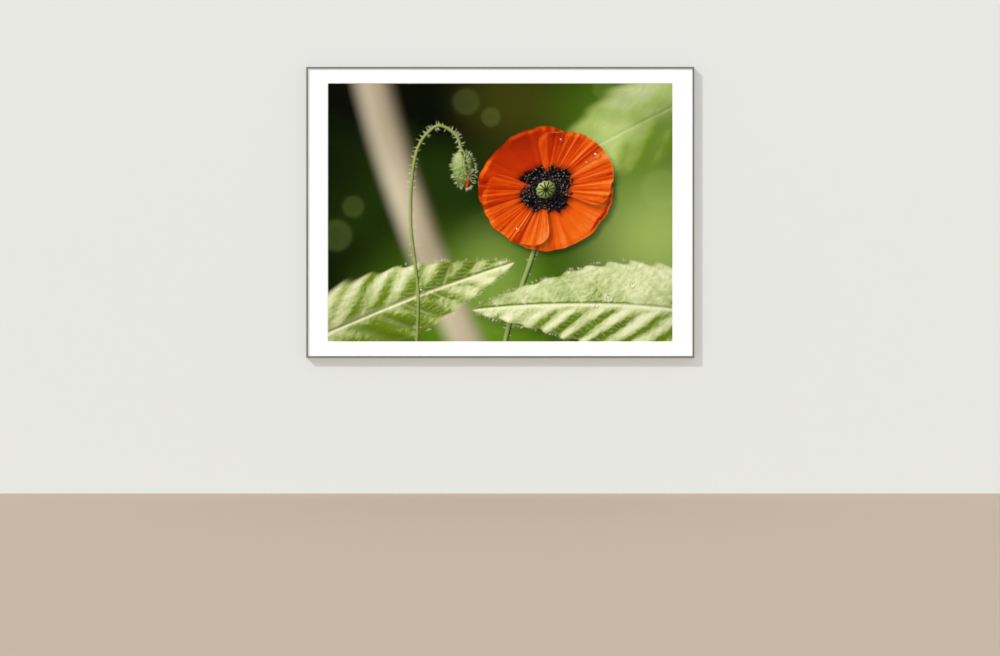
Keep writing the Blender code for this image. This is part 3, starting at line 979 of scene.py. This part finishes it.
middle = (picture_middle[0], low.y, picture_middle[1])
sheet = upright_grid(FIRST_SQUARES, inked, middle)
sheet.name = "print_on_paper"
bpy.ops.object.mode_set(mode="EDIT")
bpy.ops.mesh.select_all(action="SELECT")
bpy.ops.mesh.region_to_loop()
reaches = [
    [(side + 2 * BORDER_RIDGE) / side for side in inked],
    [(high.x - low.x) / (inked[0] + 2 * BORDER_RIDGE), (high.z - low.z) / (inked[1] + 2 * BORDER_RIDGE)],
]
for wider, taller in reaches:
    bpy.ops.mesh.extrude_edges_move()
    bpy.ops.transform.resize(value=(wider, 1, taller), center_override=middle)
bpy.ops.mesh.extrude_edges_move(TRANSFORM_OT_translate={"value": (0, high.y - low.y, 0)})
bpy.ops.mesh.edge_face_add()
bpy.ops.mesh.select_all(action="SELECT")
bpy.ops.mesh.normals_make_consistent(inside=False)
bpy.ops.object.mode_set(mode="OBJECT")
for squares in SHARPER_SQUARES:
    sharpen(sheet, squares)

x, z = at_window(sheet.data)
half_width, half_height = [(side + BORDER_RIDGE) / 2 for side in inked]
in_picture = (np.abs(x) < half_width) & (np.abs(z) < half_height)
inks = np.ones((len(x), 4))
inks[:, :3] = PAPER_WHITE
inks[in_picture, :3] = INK_STRENGTH * np.clip(paint_picture(x[in_picture], z[in_picture]), 0, 1)
layer = sheet.data.color_attributes.new(name="inks", type="FLOAT_COLOR", domain="POINT")
layer.data.foreach_set("color", inks.ravel())

lustre = new_finish("inked_lustre_paper", Specular_IOR_Level=LUSTRE_SHEEN)
ink_layer = lustre.add("Attribute", attribute_name="inks").outputs["Color"]
pebbles = lustre.grain(LUSTRE_PEBBLES, detail=2.0)
ink_grain = lustre.grain(INK_GRAIN, detail=4.0)
lustre.feed(
    Base_Color=lustre.multiplied(ink_layer, lustre.spread(ink_grain, INK_THINNEST, 1)),
    Roughness=lustre.spread(pebbles, *LUSTRE_ROUGHNESS),
    Normal=lustre.relief(pebbles, LUSTRE_RELIEF),
)
sheet.data.materials.append(lustre.block)
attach(sheet, "root")
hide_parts("print")


# The back board. 3 mm hardboard, smooth towards the print. The wire screen that it was pressed on has left
# its weave on the back, between the fibres. It holds all the sheets against the rails' lip.
HARDBOARD_DARK = (0.195, 0.118, 0.060)
HARDBOARD_LIGHT = (0.365, 0.245, 0.140)
HARDBOARD_ROUGHNESS = (0.62, 0.8)
HARDBOARD_SHEEN = 0.3
PALE_FIBRE = (0.47, 0.345, 0.215)
PALE_FIBRE_COVER = 0.55
PALE_FIBRE_PEAKS = (0.66, 0.74)
FIBRES = 0.0022
FIBRE_RELIEF = 0.00008
LONG_FIBRES = 0.0009
BLOTCHES = 0.12
BLOTCH_SHADE = 0.92
SCREEN_PITCH = 0.0018
SCREEN_RELIEF = 0.00018
SCREEN_SHADE = 0.88

hardboard = new_finish("hardboard", Specular_IOR_Level=HARDBOARD_SHEEN)
fibres = hardboard.grain(FIBRES, detail=8.0)
blotches = hardboard.grain(BLOTCHES)
# A wave texture repeats every 2 pi / 20 of its scaled coordinate.
sockets = {"Vector": hardboard.coordinates["Object"], "Scale": 2 * pi / 20 / SCREEN_PITCH}
wires = [hardboard.add("TexWave", sockets, bands_direction=way).outputs["Fac"] for way in ("X", "Z")]
screen = hardboard.compute("MULTIPLY", *wires)
fibre_colour = hardboard.two_tone(fibres, HARDBOARD_DARK, HARDBOARD_LIGHT)
long_fibres = [hardboard.grain(LONG_FIBRES, stretch=way) for way in ((5, 1, 1), (1, 1, 5))]
peaks = hardboard.compute("MAXIMUM", *long_fibres)
pale_share = hardboard.rescale(peaks, PALE_FIBRE_PEAKS, (0, PALE_FIBRE_COVER))
fibre_colour = hardboard.choose(pale_share, fibre_colour, (*PALE_FIBRE, 1))
shades = hardboard.spread(screen, SCREEN_SHADE, 1), hardboard.spread(blotches, BLOTCH_SHADE, 1)
hardboard.feed(
    Base_Color=hardboard.multiplied(fibre_colour, hardboard.compute("MULTIPLY", *shades)),
    Roughness=hardboard.spread(fibres, *HARDBOARD_ROUGHNESS),
    Normal=hardboard.relief(fibres, FIBRE_RELIEF, over=hardboard.relief(screen, SCREEN_RELIEF)),
)
wear("back_board", hardboard)


# The spring clips. Bowed strips of blued spring steel with rounded corners, twelve in all. They are pushed
# under the rails' shelf by their two ends, and their middles press the back board home.
BLUED_STEEL = (0.17, 0.185, 0.225)
BLUED_ROUGHNESS = (0.24, 0.36)
ROLL_LINES = 0.0003
CLIP_LENGTH = 0.06
CLIP_WIDTH = 0.0133
CLIP_THICK = 0.0005
CLIP_CORNER = 0.0025
CLIP_BOW = 0.0011
CLIP_SQUARES = (20, 3)
CLIP_COUNT = 12
AT_THE_ENDS = 0.49


def apply_modifier(piece, name, kind, **settings):
    """Adds a modifier to the active piece and applies it."""
    modifier = piece.modifiers.new(name, kind)
    for setting, value in settings.items():
        setattr(modifier, setting, value)
    bpy.ops.object.modifier_apply(modifier=name)


def copy_to(pattern, name, location, turn, finish):
    """A copy of the pattern with its own mesh, turned about Y and moved to its place."""
    copy = pattern.copy()
    copy.data = pattern.data.copy()
    copy.name = name
    bpy.context.scene.collection.objects.link(copy)
    copy.rotation_euler = (0, turn, 0)
    copy.location = location
    finish_here(copy)
    copy.data.materials.append(finish.block)
    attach(copy, "root")
    return copy


clip = upright_grid(CLIP_SQUARES, (CLIP_LENGTH, CLIP_WIDTH))


def at_corner(point):
    """Whether a point of the flat strip is one of its corners."""
    along, across = abs(point.co.x) / CLIP_LENGTH, abs(point.co.z) / CLIP_WIDTH
    return min(along, across) > AT_THE_ENDS


select_where(clip, "VERT", at_corner)
bpy.ops.mesh.bevel(offset=CLIP_CORNER, affect="VERTICES", segments=4, profile=0.5)
bpy.ops.object.mode_set(mode="OBJECT")
# A strip that is bowed by one height along an arc turns through eight heights over its length.
bow_angle = 8 * CLIP_BOW / CLIP_LENGTH
apply_modifier(clip, "bow", "SIMPLE_DEFORM", deform_method="BEND", deform_axis="Z", angle=bow_angle)
apply_modifier(clip, "gauge", "SOLIDIFY", thickness=CLIP_THICK, offset=1)
bpy.ops.object.shade_smooth_by_angle(angle=radians(40))

clip_finishes = {}
for along in ("X", "Z"):
    name = f"blued_steel_along_{along}"
    clip_finishes[along] = drawn_metal(name, along, BLUED_STEEL, BLUED_ROUGHNESS, ROLL_LINES)
for number in range(1, CLIP_COUNT + 1):
    low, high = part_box(f"clip_{number}")
    along = "X" if high.x - low.x > high.z - low.z else "Z"
    turn = 0 if along == "X" else pi / 2
    # The pattern's back is at Y = 0 in its middle, and the strip's bow reaches back from there.
    location = ((low.x + high.x) / 2, low.y + CLIP_THICK, (low.z + high.z) / 2)
    spring_clip = copy_to(clip, f"spring_clip_{number}", location, turn, clip_finishes[along])
    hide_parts(f"clip_{number}")
bpy.data.objects.remove(clip)


# The corner plates. Flat L-shaped plates of zinc-plated steel, slid into the rails' rear channel. Each
# bridges a mitre and is locked by a set screw in each of its legs, whose tips bite on the rails' shelf.
ZINC = (0.62, 0.63, 0.62)
ZINC_BLUE = (0.50, 0.53, 0.58)
ZINC_ROUGHNESS = (0.24, 0.42)
PLATING = 0.008
SCUFFS = 0.0009
SCUFF_RELIEF = 0.00001

zinc = new_finish("zinc_plate", Metallic=1)
plating = zinc.grain(PLATING, detail=4.0)
scuffs = zinc.grain(SCUFFS, stretch=(5, 1, 1))
zinc.feed(
    Base_Color=zinc.two_tone(plating, ZINC_BLUE, ZINC),
    Roughness=zinc.spread(scuffs, *ZINC_ROUGHNESS),
    Normal=zinc.relief(scuffs, SCUFF_RELIEF),
)
plates = [f"plate_{row}_{column}" for row in ("top", "bottom") for column in ("left", "right")]
for plate in plates:
    wear(plate, zinc)


# The set screws. M3.5 steel screws with a slotted, chamfered end, two in each corner plate and four in the
# hanging bar. No two slots stand alike, because each screw is turned until it is tight.
SCREW_RADIUS = 0.00175
SCREW_SIDES = 32
SCREW_RIM = 0.00025
SLOT_WIDTH = 0.0006
SLOT_DEPTH = 0.0009
FIRST_SLOT_TURN = 23
NEXT_SLOT_TURN = 67

screw_nodes = [f"{plate}_screw_{leg}" for plate in plates for leg in (1, 2)]
screw_nodes += [f"bar_screw_{number}" for number in range(1, 5)]
low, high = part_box(screw_nodes[0])
screw_length = high.y - low.y

bpy.ops.object.select_all(action="DESELECT")
bpy.ops.mesh.primitive_cylinder_add(
    vertices=SCREW_SIDES,
    radius=SCREW_RADIUS,
    depth=screw_length,
    rotation=(pi / 2, 0, 0),
)
screw = bpy.context.object
finish_here(screw)
select_where(screw, "FACE", lambda face: abs(face.normal.y) > 0.9)
bpy.ops.mesh.region_to_loop()
bpy.ops.mesh.bevel(offset=SCREW_RIM, affect="EDGES", segments=3)
bpy.ops.object.mode_set(mode="OBJECT")
bpy.ops.mesh.primitive_cube_add(size=1, location=(0, screw_length / 2, 0))
slot = bpy.context.object
slot.scale = (4 * SCREW_RADIUS, 2 * SLOT_DEPTH, SLOT_WIDTH)
finish_here(slot)
bpy.ops.object.select_all(action="DESELECT")
bpy.context.view_layer.objects.active = screw
screw.select_set(True)
apply_modifier(screw, "slot", "BOOLEAN", operation="DIFFERENCE", solver="EXACT", object=slot)
bpy.ops.object.shade_smooth_by_angle(angle=radians(30))
bpy.data.objects.remove(slot)
for number, node in enumerate(screw_nodes):
    low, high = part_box(node)
    turn = radians(FIRST_SLOT_TURN + number * NEXT_SLOT_TURN)
    set_screw = copy_to(screw, f"set_{node}", (low + high) / 2, turn, zinc)
    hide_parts(node)
bpy.data.objects.remove(screw)


# The hanging bar. A short length of mill-finish aluminium extrusion, held in the top rail's rear channel by
# its four set screws. Its tongue hooks down behind the bar that is screwed to the wall.
MILL_ALUMINIUM = (0.66, 0.66, 0.65)
MILL_ROUGHNESS = (0.26, 0.4)
MILL_LINES = 0.0004
MILL_SHADE = 0.08

aluminium = drawn_metal("mill_aluminium", "X", MILL_ALUMINIUM, MILL_ROUGHNESS, MILL_LINES, MILL_SHADE)
wear("hanging_bar", aluminium)


# The bumpers. Two soft clear domes, stuck to the bottom rail. They keep the frame off the wall and level.
CLEAR_RUBBER = (0.66, 0.68, 0.66)
RUBBER_ROUGHNESS = (0.2, 0.45)
RUBBER_CLEARNESS = 0.55
RUBBER_IOR = 1.48
DUST = 0.001
RUBBER_SHADE = 0.08

rubber = new_finish("clear_rubber", Transmission_Weight=RUBBER_CLEARNESS, IOR=RUBBER_IOR)
dust = rubber.grain(DUST, detail=4.0)
rubber.feed(
    Base_Color=rubber.mottled(dust, CLEAR_RUBBER, RUBBER_SHADE),
    Roughness=rubber.spread(dust, *RUBBER_ROUGHNESS),
)
for column in ("left", "right"):
    wear(f"bumper_{column}", rubber)


# The wall and the floor that the frame is seen against. The wall lies just behind the frame, is clear from
# behind, and gives no light or shade of its own, so that the back of the frame can be looked at too.
WALL_PAINT = (0.676, 0.694, 0.680)
WALL_GRAIN = 0.004
FLOOR_PAINT = (0.48, 0.386, 0.289)
FLOOR_GRAIN = 0.006
PAINT_ROUGHNESS = (0.85, 0.95)
PAINT_SHEEN = 0.1
PAINT_SHADE = 0.004
FLOOR_BELOW_CENTRE = 0.737
ROOM_WIDTH = 14.0
BEHIND_THE_BAR = 0.0004


def matt_paint(name, colour, grain_size):
    """Plain paint with the slight grain of a roller."""
    paint = new_finish(name, Specular_IOR_Level=PAINT_SHEEN)
    roller = paint.grain(grain_size)
    paint.feed(
        Base_Color=paint.mottled(roller, colour, PAINT_SHADE),
        Roughness=paint.spread(roller, *PAINT_ROUGHNESS),
    )
    return paint


frame_low, frame_high = solid_box
frame_centre = (frame_low + frame_high) / 2
floor_level = frame_centre.z - FLOOR_BELOW_CENTRE

bpy.ops.object.select_all(action="DESELECT")
bpy.ops.mesh.primitive_plane_add(
    size=ROOM_WIDTH,
    location=(0, frame_high.y + BEHIND_THE_BAR, floor_level + ROOM_WIDTH / 2),
    rotation=(pi / 2, 0, 0),
)
wall = bpy.context.object
wall.name = "wall"
wall_paint = matt_paint("wall_paint", WALL_PAINT, WALL_GRAIN)
behind = wall_paint.add("NewGeometry").outputs["Backfacing"]
see_through = wall_paint.add("BsdfTransparent").outputs[0]
wall_paint.share_surface(behind, wall_paint.shader.outputs[0], see_through)
wall.data.materials.append(wall_paint.block)
for kind_of_light in ("diffuse", "glossy", "transmission", "shadow"):
    setattr(wall, f"visible_{kind_of_light}", False)

bpy.ops.mesh.primitive_plane_add(size=2 * ROOM_WIDTH, location=(0, 0, floor_level))
floor = bpy.context.object
floor.name = "floor"
floor.data.materials.append(matt_paint("floor_paint", FLOOR_PAINT, FLOOR_GRAIN).block)


# The light. A pale sky all round, brighter behind the frame, with a soft fill from the front. A small key,
# high on the left, throws the frame's shadow onto the wall, to the right and down.
SKY_COLOUR = (0.965, 1.0, 1.055, 1)
SKY_IN_FRONT = 0.58
SKY_BEHIND = 1.20
SKY_BLEND = 0.15
KEY_WAY = (-1, -1, 1)
KEY_STRENGTH = 1.45
KEY_SPREAD = radians(2.5)
FILL_WAY = (0, -1, 0.12)
FILL_STRENGTH = 1.16


def add_sun(name, strength, way):
    """A distant light that shines from this direction."""
    bpy.ops.object.light_add(type="SUN", location=2 * Vector(way))
    sun = bpy.context.object
    sun.name = name
    sun.data.energy = strength
    sun.rotation_euler = Vector(way).to_track_quat("Z", "Y").to_euler()
    return sun


sky = Finish(bpy.data.worlds.new("studio"), "Background", Color=SKY_COLOUR)
bpy.context.scene.world = sky.block
backward = sky.add("SeparateXYZ", {0: sky.coordinates["Generated"]}).outputs["Y"]
sky.feed(Strength=sky.rescale(backward, (-SKY_BLEND, SKY_BLEND), (SKY_IN_FRONT, SKY_BEHIND)))

add_sun("key", KEY_STRENGTH, KEY_WAY).data.angle = KEY_SPREAD
# The fill stands for a wide soft panel, so it throws no shadow and the glazing doesn't mirror it.
fill = add_sun("fill", FILL_STRENGTH, FILL_WAY)
fill.data.use_shadow = False
fill.visible_glossy = False


# The camera. It looks straight at the wall from across the room, with the frame above the middle.
CAMERA_LENS = 100
CAMERA_SENSOR = 36
CAMERA_DISTANCE = 7.27
CAMERA_ACROSS = -0.0008
CAMERA_BELOW_CENTRE = 0.3025

camera_place = (CAMERA_ACROSS, frame_low.y - CAMERA_DISTANCE, frame_centre.z - CAMERA_BELOW_CENTRE)
bpy.ops.object.camera_add(location=camera_place, rotation=(pi / 2, 0, 0))
camera = bpy.context.object
camera.data.lens = CAMERA_LENS
camera.data.sensor_width = CAMERA_SENSOR
camera.data.clip_end = 4 * ROOM_WIDTH
bpy.context.scene.camera = camera
bpy.context.scene.view_settings.view_transform = "Standard"
